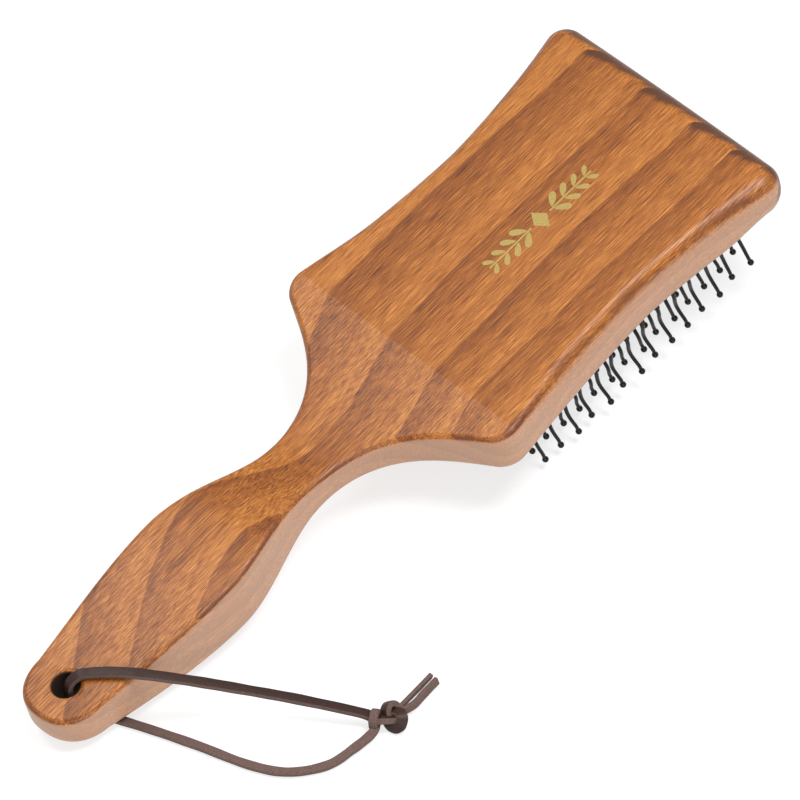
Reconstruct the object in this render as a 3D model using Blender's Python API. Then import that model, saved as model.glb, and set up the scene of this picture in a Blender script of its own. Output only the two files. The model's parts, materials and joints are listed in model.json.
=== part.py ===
"""Paddle hairbrush: wooden body, air cushion with rows of wavy ball-tipped pins, and a leather thong.

The brush is modelled in its own frame under the empty "brush". X runs along it from the handle's end, Z points
up out of the head's back, and Z = 0 is on the back. The empty then leans the brush as it lies on a table: pins
down, and the handle's end propped on the thong that runs under it. Sizes are in metres.
"""

import math

import bmesh
import bpy
import numpy as np
from mathutils import Vector

# Wooden body, in plan. Widths are full widths, and X runs from the handle's end.
LENGTH = 0.250
NOSE_LENGTH = 0.013
NOSE_WIDTH = 0.0246
NOSE_ROUNDNESS = 2.3
NOSE_TAPER = 0.14
GRIP_X = 0.060
GRIP_WIDTH = 0.0336
NECK_X = 0.098
NECK_WIDTH = 0.0190
NECK_SWEEP = 0.024
FLARE_SWEEP = 0.014
FLARE_ANGLE = math.radians(61)
SHOULDER_X = 0.1392
SHOULDER_WIDTH = 0.0858
SHOULDER_RADIUS = 0.008
WAIST_X = 0.198
WAIST_WIDTH = 0.0748
SIDE_CURVE = 1.5
TIP_WIDTH = 0.0880
TIP_RADIUS = 0.0062
TIP_CROWN = 0.0004

# Wooden body, from the side. Heights are above the head's back.
HEAD_THICKNESS = 0.0155
RIDGE_X = 0.144
RIDGE_SLOPE = 0.11
NOSE_TOP = -0.0030
HUMP_X = 0.072
HUMP_TOP = 0.0019
DIP_X = 0.106
DIP_TOP = -0.0030
NOSE_UNDERSIDE = -0.0137
NOSE_UNDERSIDE_SLOPE = -0.18
BELLY_X = 0.056
BELLY_UNDERSIDE = -0.0190
DIP_UNDERSIDE = -0.0141
HANDLE_EDGE_RADIUS = 0.0020
EDGE_ONSET_X = 0.140
EDGE_ONSET_LENGTH = 0.030
TIP_ONSET_X = LENGTH - 0.025
TIP_ONSET_LENGTH = 0.020
HEAD_SIDE_INSET = 0.0046
HEAD_SIDE_DROP = 0.0075
TIP_INSET = 0.0058
TIP_DROP = 0.0050
UNDERSIDE_EDGE_RADIUS = 0.0030
TIP_UNDERSIDE_INSET = 0.0056
TIP_UNDERSIDE_DROP = 0.0090

# Hanging hole.
HOLE_X = 0.0115
HOLE_DIAMETER = 0.0080
HOLE_RIM = 0.0008

# Air cushion and its pocket.
CUSHION_START_X = 0.1495
CUSHION_LENGTH = 0.0895
CUSHION_WIDTH = 0.0672
CUSHION_CORNER = 0.0075
CUSHION_WALL = 0.0016
DOME_RISE = 0.0060
POCKET_DEPTH = 0.0050
GAP = 0.0003

# Pins, in rows across the cushion. A row's pins stand on one strip set in a slot of the cushion.
ROWS = 14
PINS_IN_ROW = 13
FIELD_MARGIN_X = 0.0043
FIELD_MARGIN_Y = 0.0028
PIN_LENGTH = 0.0182
PIN_DIAMETER = 0.0012
PIN_BALL_DIAMETER = 0.0019
PIN_WAVE = 0.0011
PIN_SPLAY = math.radians(17)
PIN_UNEVENNESS = 0.05
PIN_TURN = 2.4
PIN_TURN_RATIO = 1.7
STRIP_WIDTH = 0.0013
STRIP_OVERHANG = 0.0004

# Leather thong: one lace, doubled through the hole and tied in a knot, lying on Z = 0 under the handle's end.
# Its points are in the world, as the brush lies.
LACE_DIAMETER = 0.0020
LACE_SIDES = 2
POINTS_BETWEEN = 3
THONG_UPPER = (
    (-0.1119, 0.0000, 0.0038),
    (-0.1127, -0.0002, 0.0110),
    (-0.1120, -0.0006, 0.0154),
    (-0.1094, -0.0019, 0.0177),
    (-0.1067, -0.0043, 0.0181),
    (-0.1025, -0.0100, 0.0191),
    (-0.0987, -0.0161, 0.0197),
    (-0.0893, -0.0260, 0.0158),
    (-0.0801, -0.0360, 0.0115),
    (-0.0714, -0.0466, 0.0079),
    (-0.0618, -0.0602, 0.0042),
)
THONG_LOWER = (
    (-0.1118, 0.0000, 0.0013),
    (-0.1069, -0.0066, 0.0013),
    (-0.1025, -0.0173, 0.0013),
    (-0.0974, -0.0322, 0.0013),
    (-0.0928, -0.0475, 0.0013),
    (-0.0876, -0.0572, 0.0013),
    (-0.0792, -0.0636, 0.0014),
    (-0.0709, -0.0652, 0.0018),
    (-0.0634, -0.0654, 0.0022),
)
THONG_KNOT = (-0.0570, -0.0658, 0.0030)
KNOT_SIZE = 0.0014
KNOT_POINTS = 36
THONG_TAIL_A = ((-0.0506, -0.0648, 0.0024), (-0.0452, -0.0638, 0.0016), (-0.0395, -0.0630, 0.0013))
THONG_TAIL_B = ((-0.0506, -0.0672, 0.0024), (-0.0452, -0.0662, 0.0016), (-0.0395, -0.0654, 0.0013))

HALF = 0.5
EDGE_STEPS = 5
WOOD = ("wood", (0.47, 0.20, 0.065), 0.42)
RUBBER = ("rubber", (0.018, 0.018, 0.019), 0.62)
NYLON = ("nylon", (0.012, 0.012, 0.013), 0.35)
LEATHER = ("leather", (0.060, 0.034, 0.028), 0.60)


def clear_scene():
    for thing in list(bpy.data.objects):
        bpy.data.objects.remove(thing, do_unlink=True)


def finish(name):
    """The material of this name, made on first use."""
    label, colour, roughness = name
    found = bpy.data.materials.get(label)
    if found:
        return found
    made = bpy.data.materials.new(label)
    made.use_nodes = True
    shader = made.node_tree.nodes["Principled BSDF"]
    shader.inputs["Base Color"].default_value = (*colour, 1)
    shader.inputs["Roughness"].default_value = roughness
    shader.inputs["Metallic"].default_value = 0
    return made


def object_from(name, shape, look, parent=None):
    """A named object from a bmesh, with its faces turned outwards."""
    bmesh.ops.recalc_face_normals(shape, faces=shape.faces)
    mesh = bpy.data.meshes.new(name)
    shape.to_mesh(mesh)
    shape.free()
    mesh.shade_smooth()
    mesh.set_sharp_from_angle(angle=math.radians(35))
    made = bpy.data.objects.new(name, mesh)
    bpy.context.scene.collection.objects.link(made)
    made.data.materials.append(finish(look))
    made.parent = parent
    return made


def cutter_from(name, shape, parent):
    made = object_from(name, shape, WOOD, parent)
    made.hide_render = True
    made.display_type = "WIRE"
    return made


def cut(target, cutter):
    modifier = target.modifiers.new(cutter.name, "BOOLEAN")
    modifier.operation = "DIFFERENCE"
    modifier.object = cutter


def ease(u):
    """0 to 1 with level ends."""
    u = min(max(u, 0), 1)
    return u * u * (3 - 2 * u)


def hermite(u, start, start_slope, end, end_slope, span):
    """The cubic over this span with these ends and slopes, at share u."""
    return (
        start * (2 * u**3 - 3 * u**2 + 1)
        + start_slope * span * (u**3 - 2 * u**2 + u)
        + end * (3 * u**2 - 2 * u**3)
        + end_slope * span * (u**3 - u**2)
    )


def bezier(points, count):
    """Points along a cubic Bezier, without its last."""
    a, b, c, d = (Vector(point) for point in points)
    made = []
    for i in range(count):
        u = i / count
        v = 1 - u
        made.append(v**3 * a + 3 * v * v * u * b + 3 * v * u * u * c + u**3 * d)
    return made


def corner_arc(corner, way_in, way_out, radius, count):
    """Points on the arc that rounds a corner between two directions, ends included."""
    way_in, way_out = Vector(way_in).normalized(), Vector(way_out).normalized()
    turn = way_in.angle(way_out)
    side = Vector((way_in.y, -way_in.x))
    start = Vector(corner) - way_in * radius * math.tan(turn / 2)
    turns = [turn * i / count for i in range(count + 1)]
    return [start + radius * (way_in * math.sin(t) + side * (1 - math.cos(t))) for t in turns]


def side_half_width(x):
    """Half the head's width: pulled in at the waist, wider at the shoulders and at the tip."""
    waist = HALF * WAIST_WIDTH
    if x < WAIST_X:
        share = ((WAIST_X - x) / (WAIST_X - SHOULDER_X)) ** SIDE_CURVE
        return waist + HALF * (SHOULDER_WIDTH - WAIST_WIDTH) * share
    return waist + HALF * (TIP_WIDTH - WAIST_WIDTH) * ((x - WAIST_X) / (LENGTH - WAIST_X)) ** SIDE_CURVE


def side_direction(x):
    step = 1e-5
    return Vector((2 * step, side_half_width(x + step) - side_half_width(x - step)))


def half_outline():
    """The body's outline in plan, from the handle's end round one side to the middle of the tip."""
    nose, grip, neck = HALF * NOSE_WIDTH, HALF * GRIP_WIDTH, HALF * NECK_WIDTH
    points = []
    for i in range(8):
        turn = HALF * math.pi * i / 8
        x = NOSE_LENGTH * (1 - math.cos(turn) ** (2 / NOSE_ROUNDNESS))
        points.append(Vector((x, nose * math.sin(turn) ** (2 / NOSE_ROUNDNESS))))
    for i in range(5):
        u = i / 5
        span = GRIP_X - NOSE_LENGTH
        points.append(Vector((NOSE_LENGTH + span * u, hermite(u, nose, NOSE_TAPER, grip, 0, span))))
    for i in range(6):
        u = i / 6
        points.append(Vector((GRIP_X + (NECK_X - GRIP_X) * u, grip + (neck - grip) * ease(u))))
    flare = Vector((math.cos(FLARE_ANGLE), math.sin(FLARE_ANGLE)))
    shoulder = corner_arc(
        (SHOULDER_X, HALF * SHOULDER_WIDTH), flare, side_direction(SHOULDER_X), SHOULDER_RADIUS, 5
    )
    sweep = ((NECK_X, neck), (NECK_X + NECK_SWEEP, neck), shoulder[0] - flare * FLARE_SWEEP, shoulder[0])
    points += bezier(sweep, 9) + shoulder
    corner = Vector((LENGTH - TIP_CROWN, HALF * TIP_WIDTH))
    along_tip = Vector((TIP_CROWN, -corner.y / 2))
    tip = corner_arc(corner, side_direction(corner.x), along_tip, TIP_RADIUS, 6)
    start, end = shoulder[-1].x, tip[0].x
    side = sorted([RIDGE_X] + [start + (end - start) * i / 10 for i in range(1, 10)])
    points += [Vector((x, side_half_width(x))) for x in side if x > start + 1e-4]
    points += tip
    for share in (0.66, 0.33, 0):
        y = tip[-1].y * share
        points.append(Vector((LENGTH - (LENGTH - tip[-1].x) * (y / tip[-1].y) ** 2, y)))
    return points


def top_height(x):
    """The upper face, the same right across the body: grip, dip, facet up to the ridge, and flat back."""
    if x >= RIDGE_X:
        return 0
    if x > DIP_X:
        return hermite((x - DIP_X) / (RIDGE_X - DIP_X), DIP_TOP, 0, 0, RIDGE_SLOPE, RIDGE_X - DIP_X)
    if x > HUMP_X:
        return HUMP_TOP + (DIP_TOP - HUMP_TOP) * ease((x - HUMP_X) / (DIP_X - HUMP_X))
    return NOSE_TOP + (HUMP_TOP - NOSE_TOP) * ease(x / HUMP_X)


def underside_height(x):
    if x > DIP_X:
        return DIP_UNDERSIDE - (HEAD_THICKNESS + DIP_UNDERSIDE) * ease((x - DIP_X) / (SHOULDER_X - DIP_X))
    if x > BELLY_X:
        return BELLY_UNDERSIDE + (DIP_UNDERSIDE - BELLY_UNDERSIDE) * ease((x - BELLY_X) / (DIP_X - BELLY_X))
    return hermite(x / BELLY_X, NOSE_UNDERSIDE, NOSE_UNDERSIDE_SLOPE, BELLY_UNDERSIDE, 0, BELLY_X)


def near_tip(x):
    """0 along the brush, and 1 at the tip."""
    return ease((x - TIP_ONSET_X) / TIP_ONSET_LENGTH)


def upper_edge(x):
    """How far in and how far down the upper edge is rounded: little on the handle, more along the head."""
    on_head = ease((x - EDGE_ONSET_X) / EDGE_ONSET_LENGTH)
    inset = HEAD_SIDE_INSET + (TIP_INSET - HEAD_SIDE_INSET) * near_tip(x)
    drop = HEAD_SIDE_DROP + (TIP_DROP - HEAD_SIDE_DROP) * near_tip(x)
    inset_here = HANDLE_EDGE_RADIUS + (inset - HANDLE_EDGE_RADIUS) * on_head
    drop_here = HANDLE_EDGE_RADIUS + (drop - HANDLE_EDGE_RADIUS) * on_head
    return inset_here, drop_here


def lower_edge(x):
    """The same for the lower edge: a small round, but a deep one under the tip and its corners."""
    inset = UNDERSIDE_EDGE_RADIUS + (TIP_UNDERSIDE_INSET - UNDERSIDE_EDGE_RADIUS) * near_tip(x)
    drop = UNDERSIDE_EDGE_RADIUS + (TIP_UNDERSIDE_DROP - UNDERSIDE_EDGE_RADIUS) * near_tip(x)
    return inset, drop


def add_ring(shape, points):
    return [shape.verts.new(point) for point in points]


def bridge(shape, lower, upper):
    count = len(lower)
    for i in range(count):
        j = (i + 1) % count
        shape.faces.new((lower[i], lower[j], upper[j], upper[i]))


def cap_across(shape, ring):
    """Closes a ring that is symmetric about Y = 0 with strips straight across it."""
    count = len(ring)
    half = count // 2
    shape.faces.new((ring[0], ring[1], ring[-1]))
    for i in range(1, half - 1):
        shape.faces.new((ring[i], ring[i + 1], ring[count - i - 1], ring[count - i]))
    shape.faces.new((ring[half - 1], ring[half], ring[half + 1]))


def body_shape():
    half = half_outline()
    outline = half + [Vector((p.x, -p.y)) for p in reversed(half[1:-1])]
    count = len(outline)
    inward = []
    for i in range(count):
        along = outline[(i + 1) % count] - outline[i - 1]
        inward.append(Vector((along.y, -along.x)).normalized())

    def ring(face, edge, side, turn):
        """The outline moved in round an edge: turn 0 is on the wall, and a right angle is on the face."""
        points = []
        for point, way in zip(outline, inward):
            inset, drop = edge(point.x)
            moved = point + way * inset * (1 - math.cos(turn))
            points.append((moved.x, moved.y, face(moved.x) - side * drop * (1 - math.sin(turn))))
        return add_ring(shape, points)

    shape = bmesh.new()
    quarter = HALF * math.pi
    rings = [ring(underside_height, lower_edge, -1, quarter * share) for share in (1, 2 / 3, 1 / 3, 0)]
    rings += [ring(top_height, upper_edge, 1, quarter * i / EDGE_STEPS) for i in range(EDGE_STEPS + 1)]
    for lower, upper in zip(rings, rings[1:]):
        bridge(shape, lower, upper)
    cap_across(shape, rings[0])
    cap_across(shape, rings[-1])
    return shape


def turned(profile, centre, count):
    """A closed solid turned about an upright axis, from (radius, height) pairs."""
    shape = bmesh.new()
    rings = []
    for radius, height in profile:
        turns = [2 * math.pi * i / count for i in range(count)]
        rings.append(
            add_ring(shape, [(centre + radius * math.cos(t), radius * math.sin(t), height) for t in turns])
        )
    for lower, upper in zip(rings, rings[1:]):
        bridge(shape, lower, upper)
    shape.faces.new(rings[0])
    shape.faces.new(rings[-1])
    return shape


def hole_shape():
    """A straight hole whose two mouths are eased."""
    radius, wide = HALF * HOLE_DIAMETER, HALF * HOLE_DIAMETER + HOLE_RIM
    top, bottom = top_height(HOLE_X), underside_height(HOLE_X)
    reach = 0.01
    profile = (
        (wide + reach, bottom - reach),
        (wide, bottom),
        (radius, bottom + HOLE_RIM),
        (radius, top - HOLE_RIM),
        (wide, top),
        (wide + reach, top + reach),
    )
    return turned(profile, HOLE_X, 24)


def cushion_ring(share, margin, steps=3):
    """A rounded rectangle in the cushion's outline: taken in by a margin, then shrunk about its centre."""
    centre = CUSHION_START_X + HALF * CUSHION_LENGTH
    half_x, half_y = HALF * CUSHION_LENGTH - margin, HALF * CUSHION_WIDTH - margin
    radius = CUSHION_CORNER - margin
    straights_x, straights_y = 5, 4
    points = []
    for quarter, (sx, sy) in enumerate(((1, 1), (-1, 1), (-1, -1), (1, -1))):
        start = HALF * math.pi * quarter
        for i in range(steps + 1):
            turn = start + HALF * math.pi * i / steps
            x = sx * (half_x - radius) + radius * math.cos(turn)
            points.append((x, sy * (half_y - radius) + radius * math.sin(turn)))
        runs = straights_x if quarter % 2 == 0 else straights_y
        ax, ay = points[-1]
        bx, by = (-ax, ay) if quarter % 2 == 0 else (ax, -ay)
        points += [(ax + (bx - ax) * k / runs, ay + (by - ay) * k / runs) for k in range(1, runs)]
    return [(centre + share * x, share * y) for x, y in points]


def dome_height(x, y):
    """How far the cushion's outer face stands below the head's underside."""
    u = abs(x - CUSHION_START_X - HALF * CUSHION_LENGTH) / (HALF * CUSHION_LENGTH)
    v = abs(y) / (HALF * CUSHION_WIDTH)
    reach = max(1 - u**3, 0) * max(1 - v**3, 0)
    return DOME_RISE * reach**0.6


def cushion_shape():
    """A domed skin on a skirt that stands in the pocket, open towards the wood."""
    shape = bmesh.new()
    floor = -HEAD_THICKNESS + POCKET_DEPTH - GAP
    shares = (1, 0.96, 0.88, 0.74, 0.5, 0.22)
    rings = [add_ring(shape, [(x, y, floor) for x, y in cushion_ring(1, 0)])]
    for share in shares:
        points = cushion_ring(share, 0)
        rings.append(add_ring(shape, [(x, y, -HEAD_THICKNESS - dome_height(x, y)) for x, y in points]))
    inner = [add_ring(shape, [(x, y, floor) for x, y in cushion_ring(1, CUSHION_WALL)])]
    for share in shares:
        points = cushion_ring(share, CUSHION_WALL)
        lift = -HEAD_THICKNESS + CUSHION_WALL
        inner.append(add_ring(shape, [(x, y, lift - dome_height(x, y)) for x, y in points]))
    for group in (rings, inner):
        for lower, upper in zip(group, group[1:]):
            bridge(shape, lower, upper)
        shape.faces.new(group[-1])
    bridge(shape, rings[0], inner[0])
    return shape


def pocket_shape():
    shape = bmesh.new()
    low = add_ring(shape, [(x, y, -HEAD_THICKNESS - 0.01) for x, y in cushion_ring(1, -GAP)])
    high = add_ring(shape, [(x, y, -HEAD_THICKNESS + POCKET_DEPTH) for x, y in cushion_ring(1, -GAP)])
    bridge(shape, low, high)
    shape.faces.new(low)
    shape.faces.new(high)
    return shape


def row_x(row):
    start = CUSHION_START_X + FIELD_MARGIN_X
    return start + (CUSHION_LENGTH - 2 * FIELD_MARGIN_X) * row / (ROWS - 1)


def row_places():
    """The Y of each pin in a row."""
    reach = HALF * CUSHION_WIDTH - FIELD_MARGIN_Y
    return [reach * (2 * i / (PINS_IN_ROW - 1) - 1) for i in range(PINS_IN_ROW)]


def pin_way(y, turn):
    """The way a pin points: down, splayed towards the cushion's side, and each a little off its row's line."""
    splay = math.tan(PIN_SPLAY) * y / (HALF * CUSHION_WIDTH)
    return Vector((0, splay + PIN_UNEVENNESS * math.sin(PIN_TURN_RATIO * turn), -1)).normalized()


def strip_section(shape, x, y):
    """The strip's four corners at Y: flush with the cushion's outer face, as thick as its skin."""
    outer = -HEAD_THICKNESS - dome_height(x, y)
    across = HALF * STRIP_WIDTH
    spots = ((-across, 0), (across, 0), (across, CUSHION_WALL), (-across, CUSHION_WALL))
    return add_ring(shape, [(x + dx, y, outer + dz) for dx, dz in spots])


def grow_pin(shape, root, x, y, turn):
    """Extrudes a wavy pin with a thicker tip from its face on the strip."""
    way = pin_way(y, turn)
    wave = Vector((0.2 * math.cos(turn), math.sin(turn), 0)) * PIN_WAVE
    foot = Vector((x, y, -HEAD_THICKNESS - dome_height(x, y)))
    stages = (
        (0.29, 1, PIN_DIAMETER),
        (0.62, -1, PIN_DIAMETER),
        (0.89, 0, PIN_DIAMETER),
        (1, 0, PIN_BALL_DIAMETER),
    )
    ring = root
    for share, side, width in stages:
        centre = foot + way * PIN_LENGTH * share + wave * side
        across = HALF * width
        corners = [(-across, -across), (across, -across), (across, across), (-across, across)]
        upper = add_ring(shape, [centre + Vector((dx, dy, 0)) for dx, dy in corners])
        bridge(shape, ring, upper)
        ring = upper
    shape.faces.new(ring)


def row_shape(row):
    """One row: its strip, and a pin on the strip at each place."""
    shape = bmesh.new()
    x = row_x(row)
    half_pin = HALF * PIN_DIAMETER
    places = row_places()
    sections = [strip_section(shape, x, places[0] - half_pin - STRIP_OVERHANG)]
    for number, y in enumerate(places):
        near = strip_section(shape, x, y - half_pin)
        far = strip_section(shape, x, y + half_pin)
        turn = PIN_TURN * (row * PINS_IN_ROW + number)
        grow_pin(shape, (near[0], near[1], far[1], far[0]), x, y, turn)
        sections += [near, far]
    sections.append(strip_section(shape, x, places[-1] + half_pin + STRIP_OVERHANG))
    for i, (near, far) in enumerate(zip(sections, sections[1:])):
        over_pin = i % 2 == 1
        for k in range(4):
            if not (over_pin and k == 0):
                shape.faces.new((near[k], near[(k + 1) % 4], far[(k + 1) % 4], far[k]))
    shape.faces.new(sections[0])
    shape.faces.new(sections[-1])
    return shape


def slots_shape():
    """The slots that the rows' strips stand in, as one cutter."""
    shape = bmesh.new()
    reach = row_places()[-1] + HALF * PIN_DIAMETER + STRIP_OVERHANG + GAP
    across = HALF * STRIP_WIDTH + GAP
    for row in range(ROWS):
        x = row_x(row)
        plan = ((x - across, -reach), (x + across, -reach), (x + across, reach), (x - across, reach))
        low = add_ring(shape, [(*spot, -HEAD_THICKNESS - 0.012) for spot in plan])
        high = add_ring(shape, [(*spot, -HEAD_THICKNESS + CUSHION_WALL + 0.0006) for spot in plan])
        bridge(shape, low, high)
        shape.faces.new(low)
        shape.faces.new(high)
    return shape


def points_of(objects):
    """The objects' corners in the brush's own frame, each worked out with its modifiers."""
    graph = bpy.context.evaluated_depsgraph_get()
    found = []
    for thing in objects:
        mesh = thing.evaluated_get(graph).to_mesh()
        found.append(np.array([vertex.co for vertex in mesh.vertices]))
    return np.concatenate(found)


def lay_down(brush, wood, rows):
    """Leans the brush: its pins touch Z = 0 with the thong's room under the handle. Its middle is on X = Y = 0."""
    handle = points_of([wood])
    pins = points_of(rows)

    def height(points, lean):
        return (points[:, 0] * math.sin(lean) + points[:, 2] * math.cos(lean)).min()

    low, high = 0.0, math.radians(30)
    for _ in range(60):
        lean = HALF * (low + high)
        if height(handle, lean) - height(pins, lean) > LACE_DIAMETER + 2 * GAP:
            low = lean
        else:
            high = lean
    everything = np.concatenate([handle, pins])
    along = everything[:, 0] * math.cos(lean) - everything[:, 2] * math.sin(lean)
    brush.rotation_euler = (0, -lean, 0)
    brush.location = (-HALF * (along.min() + along.max()), 0, -height(pins, lean))


def smooth_path(points):
    """A curve through the points, with more of them between each and the next."""
    points = [Vector(point) for point in points]
    ends = [2 * points[0] - points[1]] + points + [2 * points[-1] - points[-2]]
    made = []
    for a, b, c, d in zip(ends, ends[1:], ends[2:], ends[3:]):
        for i in range(POINTS_BETWEEN):
            u = i / POINTS_BETWEEN
            bend = (c - a) * u + (2 * a - 5 * b + 4 * c - d) * u**2 + (3 * b - a - 3 * c + d) * u**3
            made.append(b + HALF * bend)
    return made + [points[-1]]


def knot_path():
    """An overhand knot drawn up tight, with its ends joined."""
    points = []
    for i in range(KNOT_POINTS):
        t = 2 * math.pi * i / KNOT_POINTS
        x = math.sin(t) + 2 * math.sin(2 * t)
        y = math.cos(t) - 2 * math.cos(2 * t)
        place = Vector((x, y, -math.sin(3 * t)))
        points.append(Vector(THONG_KNOT) + KNOT_SIZE * place)
    return points


def lace(name, points, closed=False):
    """A length of the thong, as a round cord along these points."""
    curve = bpy.data.curves.new(name, "CURVE")
    curve.dimensions = "3D"
    curve.bevel_depth = HALF * LACE_DIAMETER
    curve.bevel_resolution = LACE_SIDES
    curve.use_fill_caps = not closed
    spline = curve.splines.new("POLY")
    spline.points.add(len(points) - 1)
    for target, point in zip(spline.points, points):
        target.co = (*point, 1)
    spline.use_cyclic_u = closed
    made = bpy.data.objects.new(name, curve)
    bpy.context.scene.collection.objects.link(made)
    curve.materials.append(finish(LEATHER))
    return made


def thong():
    lace("thong_upper", smooth_path(THONG_UPPER))
    lace("thong_lower", smooth_path(THONG_LOWER))
    lace("thong_knot", knot_path(), closed=True)
    lace("thong_tail_a", smooth_path(THONG_TAIL_A))
    lace("thong_tail_b", smooth_path(THONG_TAIL_B))


def main():
    clear_scene()
    brush = bpy.data.objects.new("brush", None)
    bpy.context.scene.collection.objects.link(brush)
    wood = object_from("wooden_body", body_shape(), WOOD, brush)
    cut(wood, cutter_from("pocket_cutter", pocket_shape(), brush))
    cut(wood, cutter_from("hole_cutter", hole_shape(), brush))
    cushion = object_from("rubber_cushion", cushion_shape(), RUBBER, brush)
    cut(cushion, cutter_from("slot_cutter", slots_shape(), brush))
    rows = [object_from(f"pin_row_{row + 1:02d}", row_shape(row), NYLON, brush) for row in range(ROWS)]
    bpy.context.view_layer.update()
    lay_down(brush, wood, rows)
    bpy.context.view_layer.update()
    thong()


main()
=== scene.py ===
"""The looks of the paddle hairbrush: varnished wood, rubber cushion, nylon pins, leather lace and gold foil.

It lies on a pale studio floor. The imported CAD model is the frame, and every piece takes its place from it.
"""

import json
import math

import bmesh
import bpy
from mathutils import Matrix, Vector


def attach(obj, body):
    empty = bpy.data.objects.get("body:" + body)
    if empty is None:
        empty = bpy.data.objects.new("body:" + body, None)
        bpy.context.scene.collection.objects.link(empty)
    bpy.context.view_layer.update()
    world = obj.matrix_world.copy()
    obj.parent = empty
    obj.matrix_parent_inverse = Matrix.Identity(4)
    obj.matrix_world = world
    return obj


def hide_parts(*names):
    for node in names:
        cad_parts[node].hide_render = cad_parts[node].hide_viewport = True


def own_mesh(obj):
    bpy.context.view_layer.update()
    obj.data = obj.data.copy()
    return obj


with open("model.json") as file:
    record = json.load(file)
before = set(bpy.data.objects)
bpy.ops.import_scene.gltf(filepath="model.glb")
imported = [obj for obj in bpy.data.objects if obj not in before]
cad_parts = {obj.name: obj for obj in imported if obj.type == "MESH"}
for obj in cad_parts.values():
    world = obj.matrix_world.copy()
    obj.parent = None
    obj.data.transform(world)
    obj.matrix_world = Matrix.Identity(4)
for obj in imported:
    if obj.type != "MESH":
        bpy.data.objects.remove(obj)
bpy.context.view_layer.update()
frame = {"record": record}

MM = 0.001
HALF = 0.5
BODY = "brush_body"
PIN_BED = "pin_bed"

# The brush's own frame: X from the handle's end, Z out of the head's back. The mount there gives its lean.
BACK_X = 197 * MM
back = next(mount for mount in frame["record"]["mounts"] if mount["name"] == "head_back")
normal = Vector(back["axis"])
LEAN = math.atan2(-normal.x, normal.z)
TURN = Matrix.Rotation(-LEAN, 4, "Y")
ORIGIN = Vector(back["pos_m"]) - TURN @ Vector((BACK_X, 0, 0))
BRUSH = Matrix.Translation(ORIGIN) @ TURN

# The body's plan, as in the CAD model: X from the handle's end, and full widths.
LENGTH = 250 * MM
NOSE_LENGTH = 13 * MM
NOSE_WIDTH = 24.6 * MM
NOSE_ROUNDNESS = 2.3
NOSE_TAPER = 0.14
GRIP_X = 60 * MM
GRIP_WIDTH = 33.6 * MM
NECK_X = 98 * MM
NECK_WIDTH = 19 * MM
NECK_SWEEP = 24 * MM
FLARE_SWEEP = 14 * MM
FLARE_ANGLE = math.radians(61)
SHOULDER_X = 139.2 * MM
SHOULDER_WIDTH = 85.8 * MM
SHOULDER_RADIUS = 8 * MM
WAIST_X = 198 * MM
WAIST_WIDTH = 74.8 * MM
SIDE_CURVE = 1.5
TIP_WIDTH = 88 * MM
TIP_RADIUS = 6.2 * MM
TIP_CROWN = 0.4 * MM
SIDE_STEP = 1.6 * MM

# The body's side view. Heights are above the head's back.
THICKNESS = 15.5 * MM
RIDGE_X = 144 * MM
RIDGE_SLOPE = 0.11
NOSE_TOP = -3.0 * MM
HUMP_X = 72 * MM
HUMP_TOP = 1.9 * MM
DIP_X = 106 * MM
DIP_TOP = -3.0 * MM
NOSE_UNDERSIDE = -13.7 * MM
NOSE_UNDERSIDE_SLOPE = -0.18
BELLY_X = 56 * MM
BELLY_UNDERSIDE = -19.0 * MM
DIP_UNDERSIDE = -14.1 * MM
HANDLE_EDGE = 2.0 * MM
EDGE_ONSET_X = 140 * MM
EDGE_ONSET_LENGTH = 30 * MM
TIP_ONSET_X = LENGTH - 25 * MM
TIP_ONSET_LENGTH = 20 * MM
HEAD_SIDE_INSET = 4.6 * MM
HEAD_SIDE_DROP = 7.5 * MM
TIP_INSET = 5.8 * MM
TIP_DROP = 5.0 * MM
UNDERSIDE_EDGE = 3.0 * MM
TIP_UNDERSIDE_INSET = 5.6 * MM
TIP_UNDERSIDE_DROP = 9.0 * MM
HOLE_X = 11.5 * MM
HOLE_DIAMETER = 8.0 * MM
HOLE_RIM = 0.8 * MM
SHARP_ANGLE = math.radians(50)
END_ZONE = 9 * MM
END_CLEARANCE = 7 * MM
END_DRAW = 3 * MM

# Cushion and pins.
CUSHION_X = 149.5 * MM
CUSHION_LENGTH = 89.5 * MM
CUSHION_WIDTH = 67.2 * MM
CUSHION_CORNER = 7.5 * MM
CORNER_STEPS = 8
DOME_RISE = 6.0 * MM
POCKET_DEPTH = 5.0 * MM
GAP = 0.3 * MM
ROWS = 14
PINS_IN_ROW = 13
FIELD_MARGIN_X = 4.3 * MM
FIELD_MARGIN_Y = 2.8 * MM
PIN_LENGTH = 18.2 * MM
PIN_WAVE = 1.1 * MM
PIN_SPLAY = math.radians(17)
PIN_UNEVENNESS = 0.05
PIN_TURN = 2.4
PIN_TURN_RATIO = 1.7
BALL_LENGTH = 1.9 * MM
PIN_WAVES = 1.1
PIN_SIDES = 10
PIN_SHARE_IN_CUSHION = 0.05

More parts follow.
